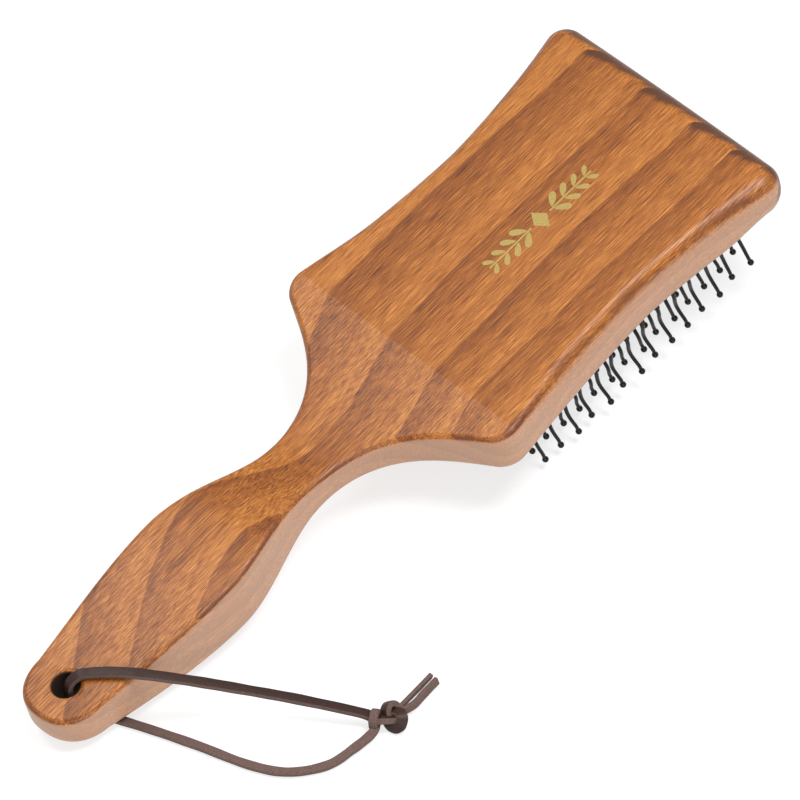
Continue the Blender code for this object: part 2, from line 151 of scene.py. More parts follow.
# Lace. Its points are the CAD model's, in the world.
LACE_WIDTH = 2.9 * MM
LACE_THICKNESS = 1.6 * MM
THONG_UPPER = (
    (-0.1119, 0.0000, 0.0038),
    (-0.1127, -0.0002, 0.0110),
    (-0.1120, -0.0006, 0.0154),
    (-0.1094, -0.0019, 0.0177),
    (-0.1067, -0.0043, 0.0181),
    (-0.1025, -0.0100, 0.0191),
    (-0.0987, -0.0161, 0.0197),
    (-0.0893, -0.0260, 0.0158),
    (-0.0801, -0.0360, 0.0115),
    (-0.0714, -0.0466, 0.0079),
    (-0.0618, -0.0602, 0.0042),
)
THONG_LOWER = (
    (-0.1118, 0.0000, 0.0013),
    (-0.1069, -0.0066, 0.0013),
    (-0.1025, -0.0173, 0.0013),
    (-0.0974, -0.0322, 0.0013),
    (-0.0928, -0.0475, 0.0013),
    (-0.0876, -0.0572, 0.0013),
    (-0.0792, -0.0636, 0.0014),
    (-0.0709, -0.0652, 0.0018),
    (-0.0634, -0.0654, 0.0022),
)
THONG_KNOT = (-0.0570, -0.0658, 0.0030)
THONG_TAIL_A = ((-0.0506, -0.0648, 0.0024), (-0.0452, -0.0638, 0.0016), (-0.0395, -0.0630, 0.0013))
THONG_TAIL_B = ((-0.0506, -0.0672, 0.0024), (-0.0452, -0.0662, 0.0016), (-0.0395, -0.0654, 0.0013))
COLLAR = (-0.0606, -0.0634, 0.0032)
COLLAR_WAY = (0.54, -0.84, 0)
COLLAR_REACH = 2.3 * MM
COLLAR_HEIGHT = 2.1 * MM
LACE_SHARP_ANGLE = math.radians(40)
LACE_FACE = (0.026, 0.012, 0.009)
LACE_CUT = (0.150, 0.094, 0.080)
LOWER_SIZE = 0.86
KNOT_SIZE = 1.1
KNOT_SPREAD = 1.25 * MM
COLLAR_SIZE = 0.85
TAIL_SIZE = 0.82

# Foil ornament.
FOIL_LIFT = 0.03 * MM
STEM_START = 3.6 * MM
STEM_END = 20.0 * MM
STEM_HALF_WIDTH = 0.28 * MM
FIRST_LEAF = 5.0 * MM
LEAF_PITCH = 4.2 * MM
LEAF_LENGTH = 5.0 * MM
LEAF_SHRINK = 0.5 * MM
LEAF_OFFSET = 0.45 * MM
LOZENGE = (2.6 * MM, 3.6 * MM)

# Camera, in the brush's own frame, and world light.
LENS = 555.9
CAMERA_WAY = (-0.28933, -0.50121, 0.81552)
CAMERA_UP = (0.66486, 0.50769, 0.54791)
CAMERA_DISTANCE = 3.325
AIM_RIGHT = 11.52 * MM
AIM_DOWN = 1.04 * MM
WORLD_LIGHT = 0.60
FLOOR_REACH = 30


# ---------------------------------------------------------------- camera, floor and light


def look_at(thing, target, up):
    """Turns a camera or light to face the target, with this way up."""
    back_way = (thing.location - Vector(target)).normalized()
    right = Vector(up).cross(back_way).normalized()
    turn = Matrix((right, back_way.cross(right), back_way)).transposed()
    thing.rotation_euler = turn.to_euler()


def camera():
    """A long lens from the handle's side, so that the brush runs up and away to the right."""
    data = bpy.data.cameras.new("camera")
    data.sensor_width = 36
    data.lens = LENS
    data.clip_end = 50
    thing = bpy.data.objects.new("camera", data)
    bpy.context.scene.collection.objects.link(thing)
    towards = TURN @ Vector(CAMERA_WAY)
    up = TURN @ Vector(CAMERA_UP)
    right = up.cross(towards)
    aim = BRUSH @ Vector((HALF * LENGTH, 0, 0)) + right * AIM_RIGHT - up * AIM_DOWN
    thing.location = aim + towards * CAMERA_DISTANCE
    look_at(thing, aim, up)
    bpy.context.scene.camera = thing


def softbox(name, way, distance, size, watts):
    """A rectangular light, this way from the middle of the brush in the brush's own frame."""
    data = bpy.data.lights.new(name, "AREA")
    data.shape = "RECTANGLE"
    data.size, data.size_y = size
    data.energy = watts
    thing = bpy.data.objects.new(name, data)
    bpy.context.scene.collection.objects.link(thing)
    middle = BRUSH @ Vector((HALF * LENGTH, 0, 0))
    thing.location = middle + TURN @ Vector(way).normalized() * distance
    look_at(thing, middle, TURN @ Vector((1, 0, 0)))


def studio():
    """A white room. One light draws the line along the near edge, and the far one hazes the facet."""
    world = bpy.data.worlds.new("studio")
    bpy.context.scene.world = world
    world.use_nodes = True
    background = world.node_tree.nodes["Background"]
    background.inputs["Color"].default_value = (1.0, 1.0, 1.0, 1)
    background.inputs["Strength"].default_value = WORLD_LIGHT
    softbox("overhead", (0.26, -0.32, 0.92), 1.3, (0.42, 0.34), 14.0)
    softbox("facet", (-0.05, 0.50, 0.86), 1.3, (0.60, 0.34), 7.0)
    softbox("front", (-0.45, -0.85, 0.45), 1.5, (0.9, 0.6), 7.0)
    scene = bpy.context.scene
    scene.view_settings.view_transform = "Standard"
    scene.view_settings.look = "None"
    shape = bmesh.new()
    bmesh.ops.create_grid(shape, x_segments=1, y_segments=1, size=FLOOR_REACH)
    floor = object_from("floor", shape, floor_material())


# ---------------------------------------------------------------- materials


class Material:
    """A Principled material, and short calls that add the nodes that feed it."""

    def __init__(self, name, **values):
        self.made = bpy.data.materials.new(name)
        self.made.use_nodes = True
        self.tree = self.made.node_tree
        self.shader = self.tree.nodes["Principled BSDF"]
        for key, value in values.items():
            self.shader.inputs[key.replace("_", " ").title().replace("Ior", "IOR")].default_value = value

    def add(self, kind, inputs=(), **settings):
        """A node of this kind. Inputs map a socket to a value or to another node's output."""
        node = self.tree.nodes.new(kind)
        for key, value in settings.items():
            setattr(node, key, value)
        for key, value in dict(inputs).items():
            if isinstance(value, bpy.types.NodeSocket):
                self.tree.links.new(value, node.inputs[key])
            else:
                node.inputs[key].default_value = value
        return node

    def maths(self, operation, a, b=0.0):
        """One sum of two values or sockets."""
        return self.add("ShaderNodeMath", {0: a, 1: b}, operation=operation).outputs[0]

    def noise(self, vector, scale, detail=2.0, rough=0.5):
        """Soft noise between 0 and 1."""
        inputs = {"Vector": vector, "Scale": scale, "Detail": detail, "Roughness": rough}
        return self.add("ShaderNodeTexNoise", inputs).outputs["Fac"]

    def stretched(self, vector, scale):
        """A place scaled along each axis: a small number draws a pattern out."""
        return self.add("ShaderNodeMapping", {"Vector": vector, "Scale": scale}).outputs["Vector"]

    def ramp(self, value, stops):
        """Colours or grey values by position, each (place, value)."""
        node = self.add("ShaderNodeValToRGB", {"Fac": value})
        steps = node.color_ramp.elements
        while len(steps) < len(stops):
            steps.new(HALF)
        for step, (place, tint) in zip(steps, stops):
            step.position = place
            step.color = (*tint, 1) if isinstance(tint, tuple) else (tint, tint, tint, 1)
        return node.outputs["Color"]

    def mix(self, share, a, b):
        """Colour a, going over to colour b by this share."""
        node = self.add("ShaderNodeMix", data_type="RGBA")
        for socket, value in ((node.inputs[0], share), (node.inputs[6], a), (node.inputs[7], b)):
            if isinstance(value, bpy.types.NodeSocket):
                self.tree.links.new(value, socket)
            else:
                socket.default_value = value if socket.type == "VALUE" else (*value, 1)
        return node.outputs[2]

    def feed(self, name, socket):
        """Drives one of the shader's inputs."""
        self.tree.links.new(socket, self.shader.inputs[name])

    def bump(self, height, strength, distance):
        """Fine relief that leaves the mesh as it is."""
        inputs = {"Height": height, "Strength": strength, "Distance": distance}
        node = self.add("ShaderNodeBump", inputs)
        self.feed("Normal", node.outputs["Normal"])

    def place(self):
        """Where a point is in its object's own frame, in millimetres."""
        here = self.add("ShaderNodeTexCoord").outputs["Object"]
        return self.stretched(here, (1 / MM, 1 / MM, 1 / MM))


def floor_material():
    """Paper that shines a little, so that shadows on it stay faint."""
    grey = (0.30, 0.30, 0.30, 1)
    paper = Material("lit_paper", base_color=grey, roughness=0.85, specular_ior_level=0.1)
    paper.shader.inputs["Emission Color"].default_value = (1, 1, 1, 1)
    paper.shader.inputs["Emission Strength"].default_value = 0.72
    return paper.made


def growth(wood, here):
    """Growth rings: tilted layers along the brush, each pale and then dark up to a crisp line."""
    x, y, z = wood.add("ShaderNodeSeparateXYZ", {0: here}).outputs
    near_end = wood.add("ShaderNodeMapRange", {0: x, 1: 78.0, 2: 0.0, 3: 0.0, 4: 1.0}).outputs[0]
    drift = wood.maths("MULTIPLY", wood.maths("POWER", near_end, 1.6), 26.0)
    wander = wood.maths("MULTIPLY", wood.noise(wood.stretched(here, (0.012, 0.02, 0.02)), 1.0, 1.0), 6.0)
    jag = wood.maths("MULTIPLY", wood.noise(wood.stretched(here, (0.05, 0.9, 0.4)), 1.0, 2.0), 1.3)
    bend = wood.maths("MULTIPLY", wood.maths("MULTIPLY", y, y), -1 / 200)
    depth = wood.maths("MULTIPLY", z, -2.4)
    layer = wood.maths("ADD", wood.maths("ADD", y, bend), wood.maths("ADD", depth, drift))
    layer = wood.maths("ADD", layer, wood.maths("ADD", wander, jag))
    ring = wood.maths("FRACT", wood.maths("DIVIDE", wood.maths("ADD", layer, 79.0), 18.0))
    minor = wood.maths("FRACT", wood.maths("DIVIDE", wood.maths("ADD", layer, 66.0), 7.3))
    wide = wood.ramp(ring, [(0.0, 0.86), (0.30, 0.74), (0.70, 0.42), (0.975, 0.20), (1.0, 0.86)])
    fine = wood.ramp(minor, [(0.0, 0.75), (0.85, 0.32), (1.0, 0.75)])
    return wood.mix(0.28, wide, fine)


def grain(wood, here):
    """Two sets of fine lines along the brush: regular ones, and shorter, finer hairs."""
    y = wood.add("ShaderNodeSeparateXYZ", {0: here}).outputs[1]
    slow = wood.noise(wood.stretched(here, (0.010, 0.25, 0.30)), 1.0, 2.0, 0.6)
    sway = wood.maths("MULTIPLY", slow, 26.0)
    depth = wood.maths("MULTIPLY", wood.add("ShaderNodeSeparateXYZ", {0: here}).outputs[2], 0.6)
    phase = wood.maths("ADD", wood.maths("MULTIPLY", wood.maths("ADD", y, depth), 7.0), sway)
    waves = wood.maths("ADD", wood.maths("MULTIPLY", wood.maths("SINE", phase), HALF), HALF)
    streaks = wood.noise(wood.stretched(here, (0.022, 2.2, 0.9)), 1.0, 3.0, 0.7)
    hairs = wood.noise(wood.stretched(here, (0.13, 8.0, 3.0)), 1.0, 2.0, 0.7)
    lines = wood.mix(0.62, waves, wood.ramp(streaks, [(0.36, 0.0), (0.64, 1.0)]))
    return lines, wood.ramp(hairs, [(0.36, 0.0), (0.64, 1.0)])


def wood_material():
    """Varnished hardwood: growth rings, grain, dark pores and a stained tip, with painted shade on the
    rounded edges and in the hole, and side walls painted pale as a reflection.
    """
    wood = Material("varnished_wood", roughness=0.42, specular_ior_level=0.25, coat_roughness=0.40)
    here = wood.place()
    shade = growth(wood, here)
    lines, hairs = grain(wood, here)
    bands = wood.noise(wood.stretched(here, (0.005, 0.16, 0.10)), 1.0, 2.0, 0.6)
    tone = wood.mix(0.12, shade, wood.ramp(bands, [(0.35, 0.0), (0.65, 1.0)]))
    tone = wood.mix(0.26, tone, lines)
    tone = wood.mix(0.42, tone, hairs)
    colour = wood.ramp(
        tone,
        [
            (0.22, (0.050, 0.011, 0.002)),
            (0.40, (0.160, 0.042, 0.005)),
            (0.58, (0.290, 0.090, 0.012)),
            (0.80, (0.500, 0.205, 0.045)),
        ],
    )
    pores = wood.noise(wood.stretched(here, (0.16, 3.4, 1.4)), 1.3, 1.0)
    colour = wood.mix(wood.ramp(pores, [(0.62, 0.0), (0.72, 0.70)]), colour, (0.075, 0.020, 0.006))
    # The way the surface faces, in the brush's own frame: walls are painted paler as a painted reflection,
    # rounded edges darker as painted shade, and the tip darker by its stain.
    facing = wood.add("ShaderNodeTexCoord").outputs["Normal"]
    nx, _, nz = wood.add("ShaderNodeSeparateXYZ", {0: facing}).outputs
    x = wood.add("ShaderNodeSeparateXYZ", {0: here}).outputs[0]
    tilt = wood.maths("ABSOLUTE", nz)
    blots = wood.noise(wood.stretched(here, (0.05, 0.12, 0.12)), 1.0, 3.0, 0.6)
    patches = wood.ramp(blots, [(0.40, 0.0), (0.58, 1.0)])
    # Painted reflection: faces that stand sideways are mixed towards pale beige, as the sheen of the walls.
    wall = wood.ramp(tilt, [(0.0, 0.85), (0.32, 0.75), (0.52, 0.0)])
    colour = wood.mix(wall, colour, wood.mix(0.72, colour, (0.480, 0.300, 0.205)))
    # Painted shade: the rounded edges, where they turn away from the light, are darkened in broken patches.
    rolled = wood.ramp(tilt, [(0.42, 0.0), (0.60, 0.85), (0.80, 0.55), (0.95, 0.0)])
    rim_shade = wood.maths("MULTIPLY", rolled, patches)
    colour = wood.mix(rim_shade, colour, (0.105, 0.030, 0.014))
    # The stain at the tip starts further in on a dark ring than on a pale one, which makes its scallops.
    arcs = wood.maths("ADD", x, wood.maths("MULTIPLY", shade, -8.0))
    onset = LENGTH / MM - 9.4
    bounds = {0: arcs, 1: onset, 2: onset + 1.8, 3: 0.0, 4: 0.86}
    scallop = wood.add("ShaderNodeMapRange", bounds).outputs[0]
    colour = wood.mix(scallop, colour, (0.062, 0.023, 0.012))
    # Painted reflection: the tip's end wall, facing along the brush, is mixed towards pale grey-beige.
    colour = wood.mix(wood.ramp(nx, [(0.76, 0.0), (0.90, 0.75)]), colour, (0.480, 0.360, 0.260))
    # Painted shade: the hole's wall is darkened as the shade inside the hole, and is duller than the rest.
    hole = {0: here, 1: (HOLE_X / MM, 0, 0)}
    off_axis = wood.add("ShaderNodeVectorMath", hole, operation="SUBTRACT").outputs[0]
    level = {0: off_axis, 1: (1, 1, 0)}
    flat = wood.add("ShaderNodeVectorMath", level, operation="MULTIPLY").outputs[0]
    far = wood.add("ShaderNodeVectorMath", {0: flat}, operation="LENGTH").outputs["Value"]
    radius = HALF * HOLE_DIAMETER / MM
    mouth = {0: far, 1: radius, 2: radius + 0.5, 3: 1.0, 4: 0.0}
    inside = wood.add("ShaderNodeMapRange", mouth).outputs[0]
    colour = wood.mix(inside, colour, (0.020, 0.008, 0.004))
    wood.feed("Base Color", colour)
    wood.feed("Coat Weight", wood.maths("MULTIPLY", wood.maths("SUBTRACT", 1.0, inside), 0.20))
    polish = wood.ramp(lines, [(0.2, 0.48), (0.8, 0.36)])
    wood.feed("Roughness", wood.maths("ADD", polish, wood.maths("MULTIPLY", inside, HALF)))
    wood.bump(wood.mix(HALF, hairs, lines), 0.12, 0.0002)
    return wood.made


def rubber_material():
    """Matt black rubber, a little uneven."""
    rubber = Material("cushion_rubber", base_color=(0.016, 0.016, 0.017, 1), roughness=0.58)
    here = rubber.place()
    uneven = rubber.noise(here, 0.7, 3.0)
    rubber.feed("Roughness", rubber.ramp(uneven, [(0.3, 0.50), (0.7, 0.66)]))
    rubber.bump(rubber.noise(here, 3.0, 2.0), 0.10, 0.0001)
    return rubber.made


def nylon_material():
    """Black nylon."""
    nylon = Material("pin_nylon", base_color=(0.005, 0.005, 0.006, 1), specular_ior_level=0.22)
    here = nylon.place()
    nylon.feed("Roughness", nylon.ramp(nylon.noise(here, 0.9, 2.0), [(0.3, 0.20), (0.7, 0.32)]))
    return nylon.made


def leather_material(name, face, edge):
    """Leather whose faces are one colour and whose cut edges another, by the mesh's own attribute."""
    leather = Material(name, roughness=0.55, specular_ior_level=0.22)
    here = leather.place()
    cut = leather.add("ShaderNodeAttribute", attribute_name="cut").outputs["Fac"]
    mottle = leather.noise(here, 0.9, 4.0, 0.6)
    fibres = leather.noise(here, 4.5, 3.0, 0.7)
    pale_face = tuple(1.5 * c for c in face)
    dark_edge = tuple(0.45 * c for c in edge)
    face_tint = leather.mix(leather.ramp(mottle, [(0.35, 0.0), (0.7, 0.5)]), face, pale_face)
    edge_tint = leather.mix(leather.ramp(fibres, [(0.40, 0.0), (0.60, 1.0)]), edge, dark_edge)
    leather.feed("Base Color", leather.mix(cut, face_tint, edge_tint))
    rough = leather.mix(cut, (0.46, 0.46, 0.46), (0.85, 0.85, 0.85))
    leather.feed("Roughness", rough)
    leather.bump(leather.mix(cut, mottle, fibres), 0.35, 0.0002)
    return leather.made


def foil_material():
    """Gold foil, worn duller in spots."""
    foil = Material("gold_foil", metallic=0.55, roughness=0.42)
    worn = foil.noise(foil.place(), 2.2, 4.0, 0.7)
    gold = foil.ramp(worn, [(0.3, (0.28, 0.19, 0.05)), (0.62, (0.42, 0.31, 0.10))])
    foil.feed("Base Color", gold)
    return foil.made


# ---------------------------------------------------------------- mesh helpers


def object_from(name, shape, look, smooth=True):
    """A named object from a bmesh, with its faces turned outwards."""
    bmesh.ops.recalc_face_normals(shape, faces=shape.faces)
    mesh = bpy.data.meshes.new(name)
    shape.to_mesh(mesh)
    shape.free()
    if smooth:
        mesh.shade_smooth()
    made = bpy.data.objects.new(name, mesh)
    bpy.context.scene.collection.objects.link(made)
    mesh.materials.append(look)
    return made


def add_ring(shape, points):
    """New points in a shape, in order."""
    return [shape.verts.new(point) for point in points]


def bridge(shape, lower, upper):
    """A band of faces between two closed rings."""
    count = len(lower)
    for i in range(count):
        j = (i + 1) % count
        shape.faces.new((lower[i], lower[j], upper[j], upper[i]))


def cut_out(target, cutter):
    """Takes the cutter's shape out of the target for good."""
    modifier = target.modifiers.new("cut", "BOOLEAN")
    modifier.operation = "DIFFERENCE"
    modifier.object = cutter
    bpy.context.view_layer.update()
    graph = bpy.context.evaluated_depsgraph_get()
    mesh = bpy.data.meshes.new_from_object(target.evaluated_get(graph), depsgraph=graph)
    target.modifiers.clear()
    target.data = mesh
    bpy.data.objects.remove(cutter, do_unlink=True)


def ease(u):
    """From 0 to 1, level at both ends."""
    u = min(max(u, 0), 1)
    return u * u * (3 - 2 * u)


def hermite(u, start, start_slope, end, end_slope, span):
    """A smooth run between two values, with the slope at each end."""
    return (
        start * (2 * u**3 - 3 * u**2 + 1)
        + start_slope * span * (u**3 - 2 * u**2 + u)
        + end * (3 * u**2 - 2 * u**3)
        + end_slope * span * (u**3 - u**2)
    )


def smooth_path(points, count):
    """A curve through the points, with this many pieces from each to the next."""
    points = [Vector(point) for point in points]
    ends = [2 * points[0] - points[1]] + points + [2 * points[-1] - points[-2]]
    made = []
    for a, b, c, d in zip(ends, ends[1:], ends[2:], ends[3:]):
        for i in range(count):
            u = i / count
            bend = (c - a) * u + (2 * a - 5 * b + 4 * c - d) * u**2 + (3 * b - a - 3 * c + d) * u**3
            made.append(b + HALF * bend)
    return made + [points[-1]]


# ---------------------------------------------------------------- wooden body


def corner_arc(corner, way_in, way_out, radius, count):
    """The points of a rounded corner, from one straight way to the next."""
    way_in, way_out = Vector(way_in).normalized(), Vector(way_out).normalized()
    turn = way_in.angle(way_out)
    side = Vector((way_in.y, -way_in.x))
    start = Vector(corner) - way_in * radius * math.tan(turn / 2)
    turns = [turn * i / count for i in range(count + 1)]
    return [start + radius * (way_in * math.sin(t) + side * (1 - math.cos(t))) for t in turns]


def side_half_width(x):
    """Half the head's width: narrowest at the waist."""
    waist = HALF * WAIST_WIDTH
    if x < WAIST_X:
        share = ((WAIST_X - x) / (WAIST_X - SHOULDER_X)) ** SIDE_CURVE
        return waist + HALF * (SHOULDER_WIDTH - WAIST_WIDTH) * share
    return waist + HALF * (TIP_WIDTH - WAIST_WIDTH) * ((x - WAIST_X) / (LENGTH - WAIST_X)) ** SIDE_CURVE


def side_direction(x):
    """Which way the head's side runs at X."""
    step = 0.01 * MM
    return Vector((2 * step, side_half_width(x + step) - side_half_width(x - step)))


def half_outline():
    """The body's plan from the handle's end round one side to the middle of the tip, in fine steps."""
    nose, grip, neck = HALF * NOSE_WIDTH, HALF * GRIP_WIDTH, HALF * NECK_WIDTH
    points = []
    for i in range(24):
        turn = HALF * math.pi * i / 24
        x = NOSE_LENGTH * (1 - math.cos(turn) ** (2 / NOSE_ROUNDNESS))
        points.append(Vector((x, nose * math.sin(turn) ** (2 / NOSE_ROUNDNESS))))
    for i in range(32):
        u = i / 32
        span = GRIP_X - NOSE_LENGTH
        points.append(Vector((NOSE_LENGTH + span * u, hermite(u, nose, NOSE_TAPER, grip, 0, span))))
    for i in range(26):
        u = i / 26
        points.append(Vector((GRIP_X + (NECK_X - GRIP_X) * u, grip + (neck - grip) * ease(u))))
    flare = Vector((math.cos(FLARE_ANGLE), math.sin(FLARE_ANGLE)))
    corner = (SHOULDER_X, HALF * SHOULDER_WIDTH)
    shoulder = corner_arc(corner, flare, side_direction(SHOULDER_X), SHOULDER_RADIUS, 14)
    a, b = Vector((NECK_X, neck)), Vector((NECK_X + NECK_SWEEP, neck))
    c, d = shoulder[0] - flare * FLARE_SWEEP, shoulder[0]
    for i in range(36):
        u = i / 36
        v = 1 - u
        points.append(v**3 * a + 3 * v * v * u * b + 3 * v * u * u * c + u**3 * d)
    points += shoulder
    corner = Vector((LENGTH - TIP_CROWN, HALF * TIP_WIDTH))
    along_tip = Vector((TIP_CROWN, -corner.y / 2))
    tip = corner_arc(corner, side_direction(corner.x), along_tip, TIP_RADIUS, 16)
    start, end = shoulder[-1].x, tip[0].x
    count = round((end - start) / SIDE_STEP)
    for i in range(1, count):
        x = start + (end - start) * i / count
        points.append(Vector((x, side_half_width(x))))
    points += tip
    for i in range(1, 21):
        y = tip[-1].y * (1 - i / 20)
        points.append(Vector((LENGTH - (LENGTH - tip[-1].x) * (y / tip[-1].y) ** 2, y)))
    return points


def top_height(x):
    """The upper face: the head's flat back, then the facet, dip and hump of the handle."""
    if x >= RIDGE_X:
        return 0
    if x > DIP_X:
        return hermite((x - DIP_X) / (RIDGE_X - DIP_X), DIP_TOP, 0, 0, RIDGE_SLOPE, RIDGE_X - DIP_X)
    if x > HUMP_X:
        return HUMP_TOP + (DIP_TOP - HUMP_TOP) * ease((x - HUMP_X) / (DIP_X - HUMP_X))
    return NOSE_TOP + (HUMP_TOP - NOSE_TOP) * ease(x / HUMP_X)


def underside_height(x):
    """The lower face, from the handle's end to the head."""
    if x > DIP_X:
        return DIP_UNDERSIDE - (THICKNESS + DIP_UNDERSIDE) * ease((x - DIP_X) / (SHOULDER_X - DIP_X))
    if x > BELLY_X:
        return BELLY_UNDERSIDE + (DIP_UNDERSIDE - BELLY_UNDERSIDE) * ease((x - BELLY_X) / (DIP_X - BELLY_X))
    return hermite(x / BELLY_X, NOSE_UNDERSIDE, NOSE_UNDERSIDE_SLOPE, BELLY_UNDERSIDE, 0, BELLY_X)


def near_tip(x):
    """0 along the brush, and 1 at the tip."""
    return ease((x - TIP_ONSET_X) / TIP_ONSET_LENGTH)


def upper_edge(x):
    """How far in and how far down the upper edge is rounded."""
    on_head = ease((x - EDGE_ONSET_X) / EDGE_ONSET_LENGTH)
    inset = HEAD_SIDE_INSET + (TIP_INSET - HEAD_SIDE_INSET) * near_tip(x)
    drop = HEAD_SIDE_DROP + (TIP_DROP - HEAD_SIDE_DROP) * near_tip(x)
    return HANDLE_EDGE + (inset - HANDLE_EDGE) * on_head, HANDLE_EDGE + (drop - HANDLE_EDGE) * on_head


def lower_edge(x):
    """The same for the lower edge."""
    inset = UNDERSIDE_EDGE + (TIP_UNDERSIDE_INSET - UNDERSIDE_EDGE) * near_tip(x)
    return inset, UNDERSIDE_EDGE + (TIP_UNDERSIDE_DROP - UNDERSIDE_EDGE) * near_tip(x)


def wooden_body(look):
    """The body as rings round its outline, closed above and below by strips that follow the two faces."""
    half = half_outline()
    outline = half + [Vector((p.x, -p.y)) for p in reversed(half[1:-1])]
    count = len(outline)
    inward = []
    for i in range(count):
        along = outline[(i + 1) % count] - outline[i - 1]
        inward.append(Vector((along.y, -along.x)).normalized())

    def ring(face, edge, side, turn, share=1.0):
        """Turn 0 is on the wall, and a right angle on the face. Share 0 is the middle line."""
        points = []
        for point, way in zip(outline, inward):
            inset, drop = edge(point.x)
            moved = point + way * inset * (1 - math.cos(turn))
            if turn == quarter and abs(moved.x - RIDGE_X) < HALF * SIDE_STEP:
                moved.x = RIDGE_X
            at_tip = ease((moved.x - LENGTH + END_ZONE + END_CLEARANCE) / END_ZONE)
            at_ends = at_tip - ease((END_ZONE - moved.x) / END_ZONE)
            x = moved.x - math.sqrt(1 - share) * END_DRAW * at_ends
            points.append((x, moved.y * share, face(x) - side * drop * (1 - math.sin(turn))))
        return add_ring(shape, points)

    shape = bmesh.new()
    quarter = HALF * math.pi
    shares = [0.0, 0.2, 0.4, 0.6, 0.8, 0.94]
    rings = [ring(underside_height, lower_edge, -1, quarter, share) for share in shares]
    rings += [ring(underside_height, lower_edge, -1, quarter * (1 - i / 8)) for i in range(9)]
    rings += [ring(top_height, upper_edge, 1, quarter * i / 14) for i in range(15)]
    rings += [ring(top_height, upper_edge, 1, quarter, share) for share in reversed(shares)]
    for lower, upper in zip(rings, rings[1:]):
        bridge(shape, lower, upper)
    bmesh.ops.remove_doubles(shape, verts=rings[0] + rings[-1], dist=0.001 * MM)
    bmesh.ops.dissolve_degenerate(shape, edges=shape.edges, dist=0.001 * MM)
    body = object_from("wood_body", shape, look)
    cut_out(body, pocket_cutter(look))
    cut_out(body, hole_cutter(look))
    body.data.set_sharp_from_angle(angle=SHARP_ANGLE)
    near = 0.01 * MM
    for edge in body.data.edges:
        ends = [body.data.vertices[i].co for i in edge.vertices]
        if all(abs(end.z) < near and end.x > RIDGE_X - near for end in ends):
            edge.use_edge_sharp = all(end.x < RIDGE_X + near for end in ends)
    body.matrix_world = BRUSH
    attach(body, BODY)
    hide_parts("wooden_body")
    return body


def hole_cutter(look):
    """A straight hole with rounded mouths."""
    radius = HALF * HOLE_DIAMETER
    top, bottom = top_height(HOLE_X), underside_height(HOLE_X)
    reach = 10 * MM
    profile = [(radius + HOLE_RIM + reach, bottom - reach)]
    for i in range(7):
        turn = HALF * math.pi * i / 6
        size = radius + HOLE_RIM * (1 - math.sin(turn))
        profile.append((size, bottom + HOLE_RIM * (1 - math.cos(turn))))
    for i in range(7):
        turn = HALF * math.pi * (1 - i / 6)
        size = radius + HOLE_RIM * (1 - math.sin(turn))
        profile.append((size, top - HOLE_RIM * (1 - math.cos(turn))))
    profile.append((radius + HOLE_RIM + reach, top + reach))
    shape = bmesh.new()
    rings = []
    turns = [2 * math.pi * i / 64 for i in range(64)]
    for size, height in profile:
        points = [(HOLE_X + size * math.cos(t), size * math.sin(t), height) for t in turns]
        rings.append(add_ring(shape, points))
    for lower, upper in zip(rings, rings[1:]):
        bridge(shape, lower, upper)
    shape.faces.new(rings[0])
    shape.faces.new(rings[-1])
    return object_from("hole_cutter", shape, look)


def cushion_ring(share, margin, steps):
    """A rounded rectangle in the cushion's outline: taken in by a margin, then shrunk about its centre."""
    centre = CUSHION_X + HALF * CUSHION_LENGTH
    half_x, half_y = HALF * CUSHION_LENGTH - margin, HALF * CUSHION_WIDTH - margin
    radius = CUSHION_CORNER - margin
    points = []
    for quarter, (sx, sy) in enumerate(((1, 1), (-1, 1), (-1, -1), (1, -1))):
        for i in range(steps + 1):
            turn = HALF * math.pi * (quarter + i / steps)
            x = sx * (half_x - radius) + radius * math.cos(turn)
            points.append((x, sy * (half_y - radius) + radius * math.sin(turn)))
        runs = 24 if quarter % 2 == 0 else 18
        ax, ay = points[-1]
        bx, by = (-ax, ay) if quarter % 2 == 0 else (ax, -ay)
        points += [(ax + (bx - ax) * k / runs, ay + (by - ay) * k / runs) for k in range(1, runs)]
    return [(centre + share * x, share * y) for x, y in points]


def pocket_cutter(look):
    """The pocket: the cushion's outline with a gap round it, open below."""
    shape = bmesh.new()
    outline = cushion_ring(1, -GAP, CORNER_STEPS)
    low = add_ring(shape, [(x, y, -THICKNESS - 10 * MM) for x, y in outline])
    high = add_ring(shape, [(x, y, -THICKNESS + POCKET_DEPTH) for x, y in outline])
    bridge(shape, low, high)
    shape.faces.new(low)
    shape.faces.new(high)
    return object_from("pocket_cutter", shape, look)


# ---------------------------------------------------------------- cushion and pins


def dome_height(x, y):
    """How far the cushion's outer face stands below the head's underside."""
    u = abs(x - CUSHION_X - HALF * CUSHION_LENGTH) / (HALF * CUSHION_LENGTH)
    v = abs(y) / (HALF * CUSHION_WIDTH)
    reach = max(1 - u**3, 0) * max(1 - v**3, 0)
    return DOME_RISE * reach**0.6


def row_x(row):
    """Where a row stands along the brush."""
    start = CUSHION_X + FIELD_MARGIN_X
    return start + (CUSHION_LENGTH - 2 * FIELD_MARGIN_X) * row / (ROWS - 1)


def row_places():
    """Where the pins of a row stand across the brush."""
    reach = HALF * CUSHION_WIDTH - FIELD_MARGIN_Y
    return [reach * (2 * i / (PINS_IN_ROW - 1) - 1) for i in range(PINS_IN_ROW)]


